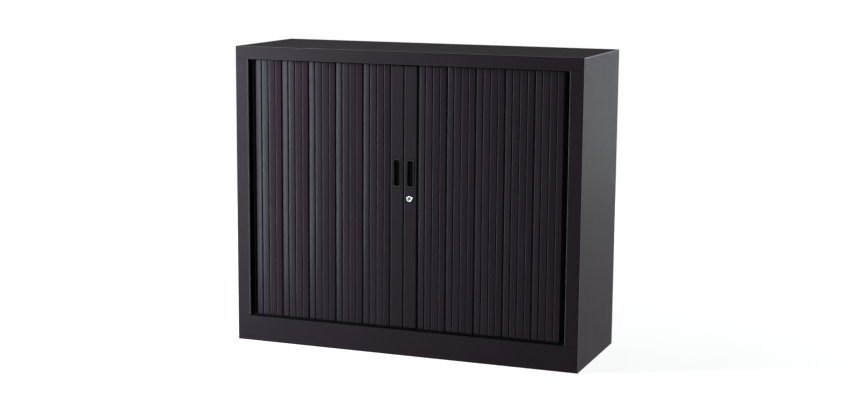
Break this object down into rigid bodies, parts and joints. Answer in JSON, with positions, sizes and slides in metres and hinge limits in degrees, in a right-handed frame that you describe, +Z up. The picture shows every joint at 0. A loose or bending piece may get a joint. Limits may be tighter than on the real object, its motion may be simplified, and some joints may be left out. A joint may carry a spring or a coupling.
{
  "type": "roll front tool cabinet",
  "caption": "Low steel cabinet with ribbed roll-front doors that slide apart, recessed pulls, a hook lock, shelves and levelling feet.",
  "frame": {"origin": "on the floor under the middle of the carcass", "axes": "+X to the right as seen from the front, +Y towards the back, +Z up; the doors face -Y"},
  "size_m": [1.2, 0.43, 1],
  "materials": {
    "carcass_paint": "fine-textured graphite powder coat, half matt",
    "inner_paint": "graphite powder coat, half matt",
    "curtain_plastic": "extruded grey plastic, satin",
    "stile_paint": "graphite powder coat, half matt",
    "black_plastic": "moulded black plastic, fine grain",
    "rubber": "black rubber",
    "lock_chrome": "bright nickel plate",
    "lock_steel": "satin nickel",
    "zinc_steel": "bright zinc plate"
  },
  "bodies": {
    "cabinet": {"left_side_panel": "carcass_paint", "right_side_panel": "carcass_paint", "top_panel": "carcass_paint", "plinth_panel": "carcass_paint", "base_panel": "carcass_paint", "ceiling_panel": "carcass_paint", "back_panel": "carcass_paint", "base_stiffener": "carcass_paint", "left_side_liner": "inner_paint", "right_side_liner": "inner_paint", "inner_back_panel": "inner_paint", "floor_panel": "inner_paint", "lower_shelf": "inner_paint", "upper_shelf": "inner_paint", "left_curtain_panel_1": "curtain_plastic", "left_curtain_panel_2": "curtain_plastic", "left_curtain_panel_3": "curtain_plastic", "left_curtain_panel_4": "curtain_plastic", "left_curtain_panel_5": "curtain_plastic", "left_curtain_panel_6": "curtain_plastic", "left_curtain_panel_7": "curtain_plastic", "right_curtain_panel_1": "curtain_plastic", "right_curtain_panel_2": "curtain_plastic", "right_curtain_panel_3": "curtain_plastic", "right_curtain_panel_4": "curtain_plastic", "right_curtain_panel_5": "curtain_plastic", "right_curtain_panel_6": "curtain_plastic", "right_curtain_panel_7": "curtain_plastic", "floor_plugs": "black_plastic", "left_bottom_track": "black_plastic", "right_bottom_track": "black_plastic", "left_top_track": "black_plastic", "right_top_track": "black_plastic", "track_buffers": "rubber", "shelf_clips": "zinc_steel", "foot_brackets": "zinc_steel", "foot_nuts": "zinc_steel"},
    "left_door": {"left_stile": "stile_paint", "left_stile_shoes": "black_plastic", "left_handle_cup": "black_plastic", "lock_keeper": "zinc_steel"},
    "right_door": {"right_stile": "stile_paint", "right_stile_shoes": "black_plastic", "right_handle_cup": "black_plastic", "lock_rosette": "black_plastic", "lock_housing": "lock_chrome", "lock_nut": "zinc_steel"},
    "lock_cylinder": {"lock_plug": "lock_steel", "lock_hook": "zinc_steel", "hook_screw": "zinc_steel"},
    "front_left_levelling_foot": {"front_left_foot": "zinc_steel"},
    "front_right_levelling_foot": {"front_right_foot": "zinc_steel"},
    "back_left_levelling_foot": {"back_left_foot": "zinc_steel"},
    "back_right_levelling_foot": {"back_right_foot": "zinc_steel"}
  },
  "joints": [
    {"name": "left_door_slide", "type": "slide", "parent": "cabinet", "child": "left_door", "axis": [-1, 0, 0], "range_m": [0, 0.49], "deforming": ["left_curtain_panel_1", "left_curtain_panel_2", "left_curtain_panel_3", "left_curtain_panel_4", "left_curtain_panel_5", "left_curtain_panel_6"]},
    {"name": "right_door_slide", "type": "slide", "parent": "cabinet", "child": "right_door", "axis": [1, 0, 0], "range_m": [0, 0.49], "deforming": ["right_curtain_panel_1", "right_curtain_panel_2", "right_curtain_panel_3", "right_curtain_panel_4", "right_curtain_panel_5", "right_curtain_panel_6"]},
    {"name": "lock_turn", "type": "hinge", "parent": "right_door", "child": "lock_cylinder", "pos_m": [0.02075, -0.187, 0.523], "axis": [0, -1, 0], "range_deg": [0, 90]},
    {"name": "front_left_levelling_foot_screw", "type": "slide", "parent": "cabinet", "child": "front_left_levelling_foot", "axis": [0, 0, -1], "range_m": [0, 0.012]},
    {"name": "front_right_levelling_foot_screw", "type": "slide", "parent": "cabinet", "child": "front_right_levelling_foot", "axis": [0, 0, -1], "range_m": [0, 0.012]},
    {"name": "back_left_levelling_foot_screw", "type": "slide", "parent": "cabinet", "child": "back_left_levelling_foot", "axis": [0, 0, -1], "range_m": [0, 0.012]},
    {"name": "back_right_levelling_foot_screw", "type": "slide", "parent": "cabinet", "child": "back_right_levelling_foot", "axis": [0, 0, -1], "range_m": [0, 0.012]}
  ]
}
